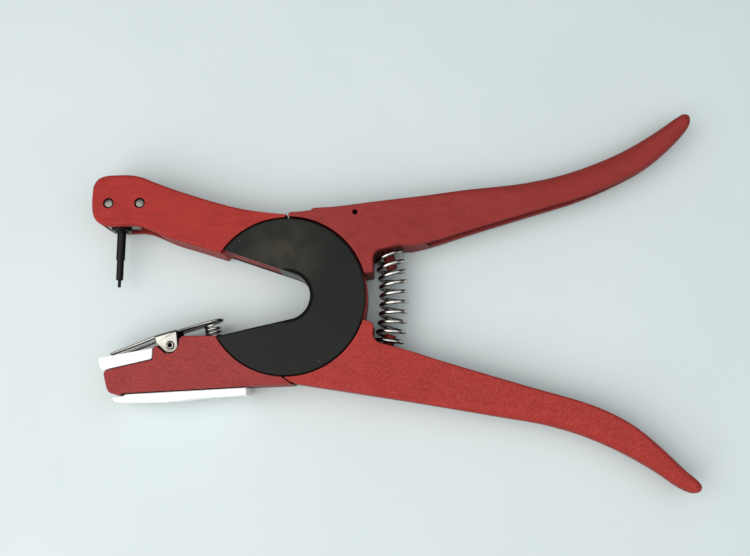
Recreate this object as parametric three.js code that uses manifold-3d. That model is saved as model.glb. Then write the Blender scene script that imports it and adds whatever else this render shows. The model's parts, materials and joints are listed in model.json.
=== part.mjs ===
// Ear-tag applicator pliers: two crossed cast arms on an open, C-shaped rotary joint.
// Millimetres. The tool lies flat, front face up (+Z), with its jaws towards -X and its handles towards +X.
// Outlines are drawn about the joint's centre; the finished group is then moved so that the origin is the
// middle of the tool's footprint, on the surface it lies on.
//
// The upper jaw arm carries the upper jaw and the lower handle, and turns counter-clockwise to close.
// The lower jaw arm carries the lower jaw and the upper handle, and the two joint plates are screwed to it.
// Between the plates each arm is a half lap: the lower jaw arm's lap is behind, the upper jaw arm's in front.

import * as THREE from 'three';
import { mergeVertices } from 'three/addons/utils/BufferGeometryUtils.js';
import Module from 'manifold-3d';

// ---------------------------------------------------------------- driving dimensions
const THICKNESS = 20; // jaws and joint, rear face to front face
const MIDDLE = THICKNESS / 2; // height of the tool's mid plane
const GAP = 0.3; // clearance between neighbouring pieces
const BELOW = -1; // heights that cutting shapes reach, past every face
const ABOVE = THICKNESS + 1;
const SLIVER = 0.005; // edges shorter than this are merged away

const PLATE_THICKNESS = 2.5;
const PLATE_RADIUS = 32.7;
const RECESS_RADIUS = 33.1; // arm faces round the plates
const WIDE_RECESS_RADIUS = 33.5; // the upper handle's front face, round the front plate
const LAP_RADIUS = 33.4; // outer rim of the half laps
const WING_RADIUS = 33.7; // handle roots, round the other arm's lap
const HUB_RADIUS = 12;
const THROAT_RADIUS = 9.8; // round end of the throat
const THROAT_UPPER_SLOPE = -18.8; // degrees, upper edge of the throat
const THROAT_LOWER_SLOPE = 13; // degrees, lower edge of the throat
const CLOSING_ANGLE = 26; // degrees that the upper jaw arm turns

const LAP_LOW = PLATE_THICKNESS + GAP; // the space between the plates
const LAP_HIGH = THICKNESS - LAP_LOW;
const LAP_SPLIT_LOW = MIDDLE - GAP / 2;
const LAP_SPLIT_HIGH = MIDDLE + GAP / 2;
const LAP_INNER_RADIUS = HUB_RADIUS + GAP;
const SEAM_ANGLE = 88; // degrees, the seams between jaws and handles at the top and bottom
const LAP_END_ANGLE = 97; // degrees, where each lap ends under the other arm's jaw
const ROOT_OVERLAP = 1.5; // how far the handle roots reach in over the laps' rims
const UPPER_ROOT_ANGLE = 16.5; // degrees, inner ends of the handle roots
const LOWER_ROOT_ANGLE = -17.6;

const SCREW_CIRCLE = 22.5; // radius on which the joint screws stand
const SCREW_RADIUS = 2;
const SCREW_HEAD_RADIUS = 3.7;
const FIXED_SCREW_ANGLES = [-135, -108]; // through the lower jaw arm's full thickness
const SLOT_SCREW_ANGLES = [5, 62]; // through the curved slots of the moving lap
const SLEEVE_RADIUS = 3.1;
const SLOT_CLEARANCE = 0.4; // between a sleeve and its curved slot
const SLOT_OVERRUN = 1.5; // degrees of slot left beyond a sleeve at either stop
const BLIND_HOLE_DEPTH = 1.6; // screw tips in the front plate
const HEAD_SINK = 0.2; // straight part of the countersinks
const SOCKET = { radius: 1.2, depth: 1.5, sides: 6 }; // in the screw heads

const CROSS_PIN_RADIUS = 1.9;
const CROSS_PIN_RECESS = 0.4; // pin ends below the jaw's faces
const CROSS_PIN_CENTRES = [[-75.5, 39.6], [-62.3, 39.6]];
const POCKET = { left: -78.9, right: -55, bottom: 20, top: 46.5, wall: 4 }; // in the upper jaw
const PIN_X = -72.3; // applicator pin's centre line, in the mid plane
const PIN_STEPS = [[5.2, 0.7], [8.1, 1.5], [16.8, 1.85], [36.5, 1.85]]; // [end of the step, its radius]
const PIN_CONES = [0.4, 0.5]; // heights of the cones between the steps
const COLLAR = { low: 28.6, high: 31.0, radius: 4.35, chamfer: 0.8 };

const INSERT_MARGIN = 0.6; // from the lower jaw's faces to the white pieces' faces
const STRIP_MARGIN = 2.5;
const INSERT_SLOT = { left: -73.6, right: -61, bottom: -35, top: -20, halfWidth: 3 };

const CLIP_PIVOT = [-47.7, -20];
const CLIP_PIN_PROUD = 0.6; // pin ends beyond the ears
const CLIP_PIN_RADIUS = 1.5;
const CLIP_PIN_BORE = 0.8;
const CLIP_SHEET = 1.1; // thickness of the clip's metal
const CLIP_HALF_WIDTH = 7.2; // over the two ears
const EAR_RADIUS = 3.25;
const EAR_CLEARANCE = 0.5;
const FORK_SLOT_HALF_WIDTH = 3.5;
const TAIL_HALF_WIDTH = 4.5;

const SPRING_WIRE_RADIUS = 0.82;
const SPRING_MEAN_RADIUS = 5.5;
const SPRING_TURNS = 9.5;
const SPRING_HALF_HEIGHT = 19; // end coil centres above and below the joint's centre line
const SPRING_END_X = 41.9;
const SEAT_SLOPE = 15; // degrees, the handles' spring seats
const SEAT_DEPTH = 1.17; // from the end coil's centre line to the seat
const SEAT_OUTER_X = 46;
const SEAT_WALL_X = 35.7; // the handle root beside the seat
const SEAT_CORNER = 4; // radius between that wall and the seat
const STUB = { foot: 2.5, end: 2.3, root: 2, upperLength: 8, lowerLength: 5 }; // inside the spring's ends
const CLIP_SPRING_WIRE_RADIUS = 0.52;
const CLIP_SPRING_MEAN_RADIUS = 3;
const CLIP_SPRING_TURNS = 3.5;
const CLIP_SPRING_FOOT = [-31, -16.6];
const CLIP_SPRING_TOP = [-32, -11.35];
const CLIP_SPRING_POCKET = { radius: 3.9, floor: -17.7, top: -15 };

// Handles grow thinner from the joint to the tips: [x, face height below the joint's face]
const HANDLE_TAPER = [[36, 0], [60, 2.5], [172, 5]];
const MESH_SPACING = 5; // longest triangle side in a tapered handle
const RIM_STEPS = 4; // facets in a quarter round
const SEAM_ROUND = 0.3; // radius of the rims of the cast faces, where the arms meet
const SEAM_ZONE = [35.5, 41.5]; // distances from the joint's centre over which the rims grow to full size
const UPPER_JAW_ROUND = 1.35;
const LOWER_JAW_ROUND = 0.6;
// A handle's rims: [across the face, down from it], before the taper
const HANDLE_ROOT_RIM = [0.7, 0.7];
const HANDLE_OUTER_RIM = [6.5, 6.5]; // on the outside of the handles, past their middle
const HANDLE_INNER_RIM = [1.2, 1.9];
const TIP_RIM = [2.8, 8];
const OUTER_ZONE = [40, 115]; // X over which the root's rims change to the outer and inner ones
const TIP_ZONE = [125, 162]; // X over which they change to the tip's
const FINE_TIP_X = 160; // past it the outline's points come closer together
const GROOVE_DEPTH = 5; // groove along the inner side of each handle
const GROOVE_LOW = 6; // its heights at the joint's thickness; they shrink with the taper
const GROOVE_HIGH = 18;
const GROOVE_START = 54;
const GROOVE_END = 157;
const GROOVE_FALL_START = 110; // X past which its top comes down
const GROOVE_FALL = 0.65; // share of its height that it loses by its end
const GROOVE_SPACING = 4; // between the points of its path
const GROOVE_RUN_OUT = 5; // points over which it runs out towards the tip
const GROOVE_OVERLAP = 2; // of the cutting shape, past the handle's edge
const DOWEL_HOLE = { centre: [28.2, 35.2], radius: 1.1 }; // through the upper handle's root

// ---------------------------------------------------------------- outlines, about the joint's centre
const UPPER_JAW_EDGE = [
  [-0.15, 34.2], [-10, 35.3], [-20, 37.1], [-30, 39.7], [-40, 42.8], [-50, 46.2], [-57, 48.9], [-62.5, 51.1],
  [-67, 51.9], [-72, 51.9], [-77.7, 51.5], [-80.7, 50.1], [-82.3, 47.5], [-82.7, 43.4], [-82.7, 39.5],
  [-82.4, 36.2], [-81.3, 33.1], [-79, 30.9], [-75.7, 30.1], [-70, 30.1], [-64.5, 30.2], [-60.5, 29.4],
  [-56, 27.5], [-50, 24.9], [-40, 21.8], [-27.9, 18.1],
];
const LOWER_HANDLE_OUTER_EDGE = [
  [3.6, -35.6], [10, -36.6], [30, -39.7], [50, -42.8], [70, -46.2], [90, -49.6], [105, -52.2], [121, -56.8],
  [136, -63.3], [150, -71.4], [157, -76.4],
];
const LOWER_HANDLE_TIP = [[161, -78.6], [164.1, -79.4], [166.5, -78.5], [167.2, -76.6], [165.8, -74.4]];
const LOWER_HANDLE_INNER_EDGE = [
  [161.4, -70.6], [151.3, -60.9], [141, -52.6], [131, -47.2], [121, -43.3], [100, -37.3], [75, -30],
  [60, -25.5], [50, -22.3],
];
const UPPER_HANDLE_OUTER_EDGE = [
  [10.8, 37.1], [20, 37.6], [30, 38.8], [50, 41.6], [75, 45.6], [100, 48.9], [120, 53.7], [140, 61.7],
  [155, 70.3], [165.6, 77.6],
];
const UPPER_HANDLE_TIP = [[168.6, 79.2], [170.8, 78.7], [171.5, 76.8], [171, 74.2], [169.1, 71.3]];
const UPPER_HANDLE_INNER_EDGE = [
  [162, 63.8], [151.6, 55.4], [141, 49.7], [131, 45.2], [120, 41.1], [100, 35.1], [75, 27.6], [60, 22.9],
  [50, 20.8],
];
const LOWER_JAW_TOP = [
  [-27.4, -16.6], [-28.6, -16.4], [-42.2, -16.4], [-43.4, -17.6], [-50.5, -17.8], [-52.4, -18.8],
  [-53.9, -21.4], [-54.2, -26.1], [-72, -30.1],
];
const LOWER_JAW_NOSE = [
  [-73.4, -30.6], [-74, -31.6], [-73.3, -34.6], [-72.4, -37.6], [-71.6, -39.1], [-70.4, -39.8], [-69.2, -40],
  [-68, -40.6], [-66.8, -40.1], [-65.5, -39.6],
];
const LOWER_JAW_BOTTOM = [[-54, -39], [-40, -38.2], [-28, -37.6], [-16, -36.9], [-4, -36.4], [1.5, -36.2]];
const JAW_INSERT_OUTLINE = [
  [-54.5, -21.3], [-54.5, -24.9], [-54.7, -25.5], [-55.3, -25.9], [-72, -29.7], [-74.3, -30.4],
  [-75.4, -29.6], [-76.1, -27.9], [-76.5, -25.9], [-76.2, -25.4], [-75.2, -25.1],
];
const BOTTOM_STRIP_OUTLINE = [
  [-65.2, -39.95], [-54, -39.35], [-40, -38.55], [-28, -37.95], [-16, -37.25], [-16, -40.3], [-28, -41],
  [-36, -41.6], [-44, -42.6], [-54, -43.3], [-68, -43.3], [-69.8, -42.9], [-70.7, -41.6], [-70.3, -41],
  [-66.7, -41],
];
const CLIP_NOSE = [-73, -23.1];
const CLIP_BEND = [-55, -16.1];
const CLIP_TAIL_END = [-27.4, -8.1];

// ---------------------------------------------------------------- plane geometry
const radians = THREE.MathUtils.degToRad;
const between = THREE.MathUtils.lerp;

function polar(radius, degrees, centre = [0, 0]) {
  return [centre[0] + radius * Math.cos(radians(degrees)), centre[1] + radius * Math.sin(radians(degrees))];
}

// Points along a circular arc, about every 5 degrees unless a step is given.
function arc(radius, from, to, centre = [0, 0], step = 5) {
  const count = Math.max(1, Math.round(Math.abs(to - from) / step));
  return Array.from({ length: count + 1 }, (_, i) => polar(radius, from + ((to - from) * i) / count, centre));
}

// A smooth curve through the points, as points about `spacing` apart.
function smooth(points, spacing) {
  const knots = points.map(([x, y]) => new THREE.Vector3(x, y, 0));
  const curve = new THREE.CatmullRomCurve3(knots, false, 'centripetal');
  const count = Math.round(curve.getLength() / spacing);
  return curve.getSpacedPoints(count).map((p) => [p.x, p.y]);
}

// The point where a throat edge, `offset` from the centre, meets a circle, on the jaws' side.
function throatPoint(side, radius, offset) {
  const slope = side === 'upper' ? THROAT_UPPER_SLOPE : THROAT_LOWER_SLOPE;
  const normal = side === 'upper' ? slope + 90 : slope - 90;
  const along = Math.sqrt(radius * radius - offset * offset);
  const foot = polar(offset, normal);
  return [foot[0] - along * Math.cos(radians(slope)), foot[1] - along * Math.sin(radians(slope))];
}

function angleOf([x, y]) {
  return THREE.MathUtils.radToDeg(Math.atan2(y, x));
}

function shapeOf(points) {
  return new THREE.Shape(points.map(([x, y]) => new THREE.Vector2(x, y)));
}

// The points moved sideways by `distance`, to the left of their direction of travel when it is positive.
function beside(points, distance) {
  return points.map(([x, y], i) => {
    const before = points[Math.max(0, i - 1)];
    const after = points[Math.min(points.length - 1, i + 1)];
    const length = Math.hypot(after[0] - before[0], after[1] - before[1]);
    const normal = [-(after[1] - before[1]) / length, (after[0] - before[0]) / length];
    return [x + normal[0] * distance, y + normal[1] * distance];
  });
}

// ---------------------------------------------------------------- solids
const wasm = await Module();
wasm.setup();

function solid(geometry) {
  const bare = geometry.clone();
  bare.deleteAttribute('normal');
  bare.deleteAttribute('uv');
  const merged = mergeVertices(bare, 1e-4);
  return new wasm.Manifold(new wasm.Mesh({
    numProp: 3,
    vertProperties: new Float32Array(merged.attributes.position.array),
    triVerts: new Uint32Array(merged.index.array),
  }));
}

function geometryOf(manifold) {
  const mesh = manifold.simplify(SLIVER).getMesh();
  const geometry = new THREE.BufferGeometry();
  geometry.setAttribute('position', new THREE.BufferAttribute(mesh.vertProperties, 3));
  geometry.setIndex(new THREE.BufferAttribute(mesh.triVerts, 1));
  const faceted = geometry.toNonIndexed();
  faceted.computeVertexNormals();
  return faceted;
}

// An outline raised from one height to another.
function slab(points, low, high) {
  const geometry = new THREE.ExtrudeGeometry(shapeOf(points), { depth: high - low, bevelEnabled: false });
  return solid(geometry.translate(0, 0, low));
}

// The same with rounded rims; rimAt gives a rim's extents [across, down] at a point of the outline.
function roundedSlab(points, low, high, rimAt) {
  const isClockWise = THREE.ShapeUtils.isClockWise(points.map(([x, y]) => ({ x, y })));
  const outline = isClockWise ? [...points].reverse() : points;
  const count = outline.length;
  const inwards = outline.map((_, i) => {
    const before = outline[(i + count - 1) % count];
    const after = outline[(i + 1) % count];
    const length = Math.hypot(after[0] - before[0], after[1] - before[1]);
    return [-(after[1] - before[1]) / length, (after[0] - before[0]) / length];
  });
  const rings = [];
  for (let k = 0; k <= 2 * RIM_STEPS + 1; k += 1) {
    const upper = k > RIM_STEPS;
    const angle = radians((90 * (upper ? k - RIM_STEPS - 1 : RIM_STEPS - k)) / RIM_STEPS);
    rings.push(outline.map(([x, y], i) => {
      const [across, down] = rimAt([x, y], inwards[i]);
      const inset = across * (1 - Math.cos(angle));
      const drop = down * (1 - Math.sin(angle));
      return [x + inwards[i][0] * inset, y + inwards[i][1] * inset, upper ? high - drop : low + drop];
    }));
  }
  const vertices = rings.flat(2);
  const indices = [];
  for (let k = 0; k + 1 < rings.length; k += 1) {
    for (let i = 0; i < count; i += 1) {
      const j = (i + 1) % count;
      const [a, b, c, d] = [k * count + i, k * count + j, (k + 1) * count + j, (k + 1) * count + i];
      indices.push(a, b, c, a, c, d);
    }
  }
  const top = (rings.length - 1) * count;
  for (const [a, b, c] of wasm.triangulate([rings[0].map(([x, y]) => [x, y])])) {
    indices.push(c, b, a, top + a, top + b, top + c);
  }
  return new wasm.Manifold(new wasm.Mesh({
    numProp: 3,
    vertProperties: new Float32Array(vertices),
    triVerts: new Uint32Array(indices),
  }));
}

function box(low, high) {
  const size = high.map((value, i) => value - low[i]);
  const geometry = new THREE.BoxGeometry(...size);
  return solid(geometry.translate(...high.map((value, i) => (value + low[i]) / 2)));
}

// A round bar along Z.
function bar([x, y], radius, low, high, sides = 24) {
  const geometry = new THREE.CylinderGeometry(radius, radius, high - low, sides);
  return solid(geometry.rotateX(Math.PI / 2).translate(x, y, (low + high) / 2));
}

// A turned piece about the Z axis through a point, from [radius, height] pairs.
function turned(profile, [x, y], sides = 24) {
  const geometry = new THREE.LatheGeometry(profile.map(([r, h]) => new THREE.Vector2(r, h)), sides);
  return solid(geometry.rotateX(Math.PI / 2).translate(x, y, 0));
}

// A turned piece standing along Y in the mid plane.
function turnedUpright(profile, x, sides = 24) {
  const geometry = new THREE.LatheGeometry(profile.map(([r, h]) => new THREE.Vector2(r, h)), sides);
  return solid(geometry.translate(x, 0, MIDDLE));
}

function discSlab(radius, low, high) {
  return slab(arc(radius, 0, 355), low, high);
}

// A ring between two radii and two angles.
function sector(inner, outer, from, to, low, high) {
  return slab([...arc(outer, from, to), ...arc(inner, to, from)], low, high);
}

// Wire wound about a curved centre line that lies in the mid plane.
class Coil extends THREE.Curve {
  constructor(centreAt, meanRadius, turns, startPhase) {
    super();
    Object.assign(this, { centreAt, meanRadius, turns, startPhase });
  }

  getPoint(t, target = new THREE.Vector3()) {
    const { centre, across } = this.centreAt(t);
    const phase = radians(this.startPhase) + 2 * Math.PI * this.turns * t;
    const outward = this.meanRadius * Math.sin(phase);
    return target.set(
      centre[0] + across[0] * outward,
      centre[1] + across[1] * outward,
      MIDDLE + this.meanRadius * Math.cos(phase),
    );
  }
}

function wire(curve, radius, sides, steps) {
  const section = new THREE.Shape(arc(radius, 0, 360 - 360 / sides, [0, 0], 360 / sides)
    .map(([x, y]) => new THREE.Vector2(x, y)));
  return new THREE.ExtrudeGeometry(section, { steps, bevelEnabled: false, extrudePath: curve });
}

// ---------------------------------------------------------------- arms
// How far a handle's face lies below the joint's face.
function taperDrop(x) {
  const [start, knee, end] = HANDLE_TAPER;
  if (x < start[0]) return 0;
  const [from, to] = x < knee[0] ? [start, knee] : [knee, end];
  return from[1] + ((to[1] - from[1]) * (x - from[0])) / (to[0] - from[0]);
}

// How round a jaw's rims are: almost sharp at the seam with the handle, then `full`.
function jawRim(full) {
  return ([x, y]) => {
    const round = between(SEAM_ROUND, full, THREE.MathUtils.smoothstep(Math.hypot(x, y), ...SEAM_ZONE));
    return [round, round];
  };
}

// How round a handle's rims are; the outside grows rounder past the root, and the tip is round on both sides.
function handleRim([x, y], inwards) {
  if (Math.hypot(x, y) < SEAM_ZONE[0]) return [SEAM_ROUND, SEAM_ROUND];
  const isOutside = inwards[1] * y < 0;
  const full = isOutside ? HANDLE_OUTER_RIM : HANDLE_INNER_RIM;
  const pastRoot = THREE.MathUtils.smoothstep(x, ...OUTER_ZONE);
  const atTip = THREE.MathUtils.smoothstep(x, ...TIP_ZONE);
  return [0, 1].map((i) => between(between(HANDLE_ROOT_RIM[i], full[i], pastRoot), TIP_RIM[i], atTip));
}

// The handles' faces slope towards each other from the joint to the tips.
function tapered(shape) {
  return shape.refineToLength(MESH_SPACING).warp((point) => {
    point[2] = MIDDLE + (point[2] - MIDDLE) * (1 - taperDrop(point[0]) / MIDDLE);
  });
}

// A handle's edge, with points about 3 apart that come closer together round the tip.
function handleEdge(points) {
  return smooth(points, 1).filter(([x], i) => x > FINE_TIP_X || i % 3 === 0);
}

// A groove along a handle's inner edge, below the rim; `side` is +1 where the handle lies to the left
// of the edge's run.
function handleGroove(innerEdge, side) {
  const run = smooth(innerEdge, GROOVE_SPACING).filter(([x]) => x > GROOVE_START && x < GROOVE_END);
  const bottom = beside(run, GROOVE_DEPTH * side).slice(GROOVE_RUN_OUT);
  const mouth = beside(run, -GROOVE_OVERLAP * side);
  const groove = slab([...mouth, ...bottom.reverse()], GROOVE_LOW, GROOVE_HIGH);
  return tapered(groove.refineToLength(MESH_SPACING).warp((point) => {
    const share = THREE.MathUtils.smoothstep(point[0], GROOVE_FALL_START, GROOVE_END);
    point[2] = between(point[2], GROOVE_LOW, GROOVE_FALL * share);
  }));
}

// The flat that a spring end rests on and the rounded corner inside it, from the outer end inwards,
// for the handle above (+1) or below (-1) the joint.
function springSeat(side) {
  const bend = radians(SEAT_SLOPE);
  const axisHeight = SPRING_HALF_HEIGHT + SEAT_DEPTH / Math.cos(bend);
  const heightAt = (x) => axisHeight + (x - SPRING_END_X) * Math.tan(bend);
  const x = SEAT_WALL_X + SEAT_CORNER;
  const corner = arc(SEAT_CORNER, 90 + SEAT_SLOPE, 180, [x, heightAt(x) - SEAT_CORNER / Math.cos(bend)], 15);
  return [[SEAT_OUTER_X, heightAt(SEAT_OUTER_X)], ...corner].map(([px, py]) => [px, side * py]);
}

// A tapered round bar that stands on a spring seat, along the spring.
function barOnSeat(side, footRadius, endRadius, low, high) {
  const bend = radians(SEAT_SLOPE);
  const x = SPRING_END_X - SEAT_DEPTH * Math.sin(bend);
  const y = SPRING_HALF_HEIGHT + SEAT_DEPTH * Math.cos(bend);
  const geometry = new THREE.CylinderGeometry(endRadius, footRadius, high - low, 32);
  geometry.translate(0, (high + low) / 2, 0);
  geometry.rotateZ(side > 0 ? Math.PI + bend : -bend);
  return solid(geometry.translate(x, side * y, MIDDLE));
}

// A handle with the hollow for a spring end and the stub inside it.
function withSpringSeat(handle, side) {
  const hollow = SPRING_MEAN_RADIUS + SPRING_WIRE_RADIUS + GAP;
  const length = side > 0 ? STUB.upperLength : STUB.lowerLength;
  return handle
    .subtract(barOnSeat(side, hollow, hollow, 0, 2 * SPRING_MEAN_RADIUS))
    .add(barOnSeat(side, STUB.foot, STUB.end, -STUB.root, length));
}

function plateRecesses(radius) {
  return discSlab(radius, BELOW, LAP_LOW).add(discSlab(radius, LAP_HIGH, ABOVE));
}

function curvedSlot(screwAngle) {
  const start = screwAngle - CLOSING_ANGLE - SLOT_OVERRUN;
  const end = screwAngle + SLOT_OVERRUN;
  const half = SLEEVE_RADIUS + SLOT_CLEARANCE;
  const outline = [
    ...arc(SCREW_CIRCLE + half, start, end),
    ...arc(half, end, end + 180, polar(SCREW_CIRCLE, end), 15),
    ...arc(SCREW_CIRCLE - half, end, start),
    ...arc(half, start + 180, start + 360, polar(SCREW_CIRCLE, start), 15),
  ];
  return slab(outline, LAP_SPLIT_LOW - 1, LAP_HIGH + 1);
}

function upperJawOutline() {
  const edge = THROAT_RADIUS + GAP;
  const root = throatPoint('upper', LAP_INNER_RADIUS, edge);
  return [
    ...smooth(UPPER_JAW_EDGE, 2.2),
    [-27, 17.9], [-26.3, 18.4],
    throatPoint('upper', LAP_RADIUS - ROOT_OVERLAP, edge),
    ...arc(LAP_INNER_RADIUS, angleOf(root), 180 - SEAM_ANGLE),
    polar(RECESS_RADIUS, 180 - SEAM_ANGLE),
  ];
}

function lowerHandleOutline() {
  return [
    [-0.6, -33.1], [1, -34.3], [2.2, -35.1],
    ...handleEdge([...LOWER_HANDLE_OUTER_EDGE, ...LOWER_HANDLE_TIP, ...LOWER_HANDLE_INNER_EDGE]),
    ...springSeat(-1),
    [36, -12], [34.8, -10.7],
    ...arc(LAP_RADIUS - ROOT_OVERLAP, LOWER_ROOT_ANGLE, 1 - SEAM_ANGLE),
  ];
}

function upperJawArm() {
  const jaw = roundedSlab(upperJawOutline(), 0, THICKNESS, jawRim(UPPER_JAW_ROUND))
    .subtract(plateRecesses(RECESS_RADIUS));
  const handle = tapered(roundedSlab(lowerHandleOutline(), 0, THICKNESS, handleRim))
    .subtract(discSlab(WING_RADIUS, BELOW, LAP_SPLIT_HIGH))
    .subtract(discSlab(RECESS_RADIUS, LAP_HIGH, ABOVE))
    .subtract(handleGroove(LOWER_HANDLE_INNER_EDGE, -1));
  const lap = sector(LAP_INNER_RADIUS, LAP_RADIUS, -SEAM_ANGLE, LAP_END_ANGLE, LAP_SPLIT_HIGH, LAP_HIGH);
  let arm = jaw.add(lap).add(withSpringSeat(handle, -1));
  for (const angle of SLOT_SCREW_ANGLES) {
    arm = arm.subtract(curvedSlot(angle));
  }
  const { left, right, bottom, top, wall } = POCKET;
  arm = arm.subtract(box([left, bottom, wall], [right, top, THICKNESS - wall]));
  for (const centre of CROSS_PIN_CENTRES) {
    arm = arm.subtract(bar(centre, CROSS_PIN_RADIUS + GAP, BELOW, ABOVE));
  }
  return arm;
}

function upperHandleOutline() {
  return [
    ...arc(LAP_RADIUS - ROOT_OVERLAP, UPPER_ROOT_ANGLE, 1 + SEAM_ANGLE),
    [0.3, 34.4], [0.9, 35.1], [2.2, 35.3], [5, 35.5], [9.6, 36.1],
    ...handleEdge([...UPPER_HANDLE_OUTER_EDGE, ...UPPER_HANDLE_TIP, ...UPPER_HANDLE_INNER_EDGE]),
    ...springSeat(1),
    [35.7, 13.2], [35.9, 10.4], [35.4, 9.6],
  ];
}

function lowerJawOutline() {
  const edge = THROAT_RADIUS + GAP;
  const root = throatPoint('lower', LAP_INNER_RADIUS, edge);
  return [
    ...arc(LAP_INNER_RADIUS, SEAM_ANGLE - 180, angleOf(root)),
    ...LOWER_JAW_TOP, ...LOWER_JAW_NOSE, ...LOWER_JAW_BOTTOM,
    [2.9, -36], [1.6, -35.2], [0.5, -34.4], polar(RECESS_RADIUS, SEAM_ANGLE - 180),
  ];
}

// Side openings of the lower jaw, where the clip's ears stand and swing.
function earRecess() {
  const outline = [
    [-43.5, -10], [-43.5, CLIP_PIVOT[1]],
    ...arc(EAR_RADIUS + EAR_CLEARANCE, -8, -140, CLIP_PIVOT, 12),
    [-54.3, -19.2], [-55, -18.2], [-55, -10],
  ];
  const depth = MIDDLE - CLIP_HALF_WIDTH + CLIP_SHEET + GAP;
  return slab(outline, BELOW, depth).add(slab(outline, THICKNESS - depth, ABOVE));
}

function clipSpringPocket() {
  const { radius, floor, top } = CLIP_SPRING_POCKET;
  return turnedUpright([[0, floor], [radius, floor], [radius, top], [0, top]], CLIP_SPRING_FOOT[0]);
}

function lowerJawArm() {
  const jaw = roundedSlab(lowerJawOutline(), 0, THICKNESS, jawRim(LOWER_JAW_ROUND))
    .subtract(plateRecesses(RECESS_RADIUS))
    .subtract(earRecess())
    .subtract(bar(CLIP_PIVOT, CLIP_PIN_RADIUS + GAP, BELOW, ABOVE))
    .subtract(clipSpringPocket());
  const handle = tapered(roundedSlab(upperHandleOutline(), 0, THICKNESS, handleRim))
    .subtract(discSlab(RECESS_RADIUS, BELOW, LAP_LOW))
    .subtract(discSlab(WING_RADIUS, LAP_SPLIT_LOW, LAP_HIGH + GAP))
    .subtract(discSlab(WIDE_RECESS_RADIUS, LAP_HIGH, ABOVE))
    .subtract(handleGroove(UPPER_HANDLE_INNER_EDGE, 1))
    .subtract(bar(DOWEL_HOLE.centre, DOWEL_HOLE.radius, BELOW, ABOVE, 16));
  const lap = sector(LAP_INNER_RADIUS, LAP_RADIUS, -LAP_END_ANGLE, SEAM_ANGLE, LAP_LOW, LAP_SPLIT_LOW);
  let arm = jaw.add(lap).add(withSpringSeat(handle, 1));
  for (const angle of [...FIXED_SCREW_ANGLES, ...SLOT_SCREW_ANGLES]) {
    arm = arm.subtract(bar(polar(SCREW_CIRCLE, angle), SCREW_RADIUS + GAP, BELOW, ABOVE));
  }
  return arm;
}

// ---------------------------------------------------------------- joint
function throatWedge(offset, low, high) {
  const reach = 60;
  const upper = throatPoint('upper', reach, offset);
  const lower = throatPoint('lower', reach, offset);
  const round = arc(offset, THROAT_LOWER_SLOPE - 90, THROAT_UPPER_SLOPE + 90);
  return slab([lower, ...round, upper], low, high);
}

function jointPlate(low, high) {
  return discSlab(PLATE_RADIUS, low, high).subtract(throatWedge(THROAT_RADIUS, BELOW, ABOVE));
}

function screwAngles() {
  return [...FIXED_SCREW_ANGLES, ...SLOT_SCREW_ANGLES];
}

function frontPlate() {
  const low = THICKNESS - PLATE_THICKNESS;
  let plate = jointPlate(low, THICKNESS);
  for (const angle of screwAngles()) {
    const place = polar(SCREW_CIRCLE, angle);
    plate = plate.subtract(bar(place, SCREW_RADIUS + GAP, BELOW, low + BLIND_HOLE_DEPTH));
  }
  return plate;
}

function rearPlate() {
  let plate = jointPlate(0, PLATE_THICKNESS);
  const head = SCREW_HEAD_RADIUS + GAP;
  const shank = SCREW_RADIUS + GAP;
  const sink = [
    [0, BELOW], [head, BELOW], [head, HEAD_SINK], [shank, HEAD_SINK + head - shank], [shank, LAP_LOW],
    [0, LAP_LOW],
  ];
  for (const angle of screwAngles()) {
    plate = plate.subtract(turned(sink, polar(SCREW_CIRCLE, angle)));
  }
  return plate;
}

function jointScrew(angle) {
  const tip = THICKNESS - PLATE_THICKNESS + BLIND_HOLE_DEPTH - GAP;
  const face = HEAD_SINK / 2;
  const cone = HEAD_SINK + SCREW_HEAD_RADIUS - SCREW_RADIUS;
  const profile = [
    [0, face], [SCREW_HEAD_RADIUS, face], [SCREW_HEAD_RADIUS, HEAD_SINK], [SCREW_RADIUS, cone],
    [SCREW_RADIUS, tip], [0, tip],
  ];
  const { radius, depth, sides } = SOCKET;
  const place = polar(SCREW_CIRCLE, angle);
  const socket = turned([[0, BELOW], [radius, BELOW], [radius, depth], [0, depth]], place, sides);
  return turned(profile, place).subtract(socket);
}

function slotSleeve(angle) {
  const inner = SCREW_RADIUS + GAP;
  const profile = [
    [inner, LAP_SPLIT_HIGH], [SLEEVE_RADIUS, LAP_SPLIT_HIGH], [SLEEVE_RADIUS, LAP_HIGH], [inner, LAP_HIGH],
    [inner, LAP_SPLIT_HIGH],
  ];
  return turned(profile, polar(SCREW_CIRCLE, angle));
}

function hubRing() {
  return discSlab(HUB_RADIUS, LAP_LOW, LAP_HIGH).subtract(throatWedge(THROAT_RADIUS, 0, THICKNESS));
}

// The main spring's centre line is an arc square to both seats.
function mainSpring() {
  const bend = radians(SEAT_SLOPE);
  const radius = SPRING_HALF_HEIGHT / Math.sin(bend);
  const centreX = SPRING_END_X - radius * Math.cos(bend);
  const centreAt = (t) => {
    const angle = bend * (2 * t - 1);
    const across = [Math.cos(angle), Math.sin(angle)];
    return { centre: [centreX + radius * across[0], radius * across[1]], across };
  };
  const coil = new Coil(centreAt, SPRING_MEAN_RADIUS, SPRING_TURNS, -80);
  return wire(coil, SPRING_WIRE_RADIUS, 8, Math.round(SPRING_TURNS * 12));
}

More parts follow.
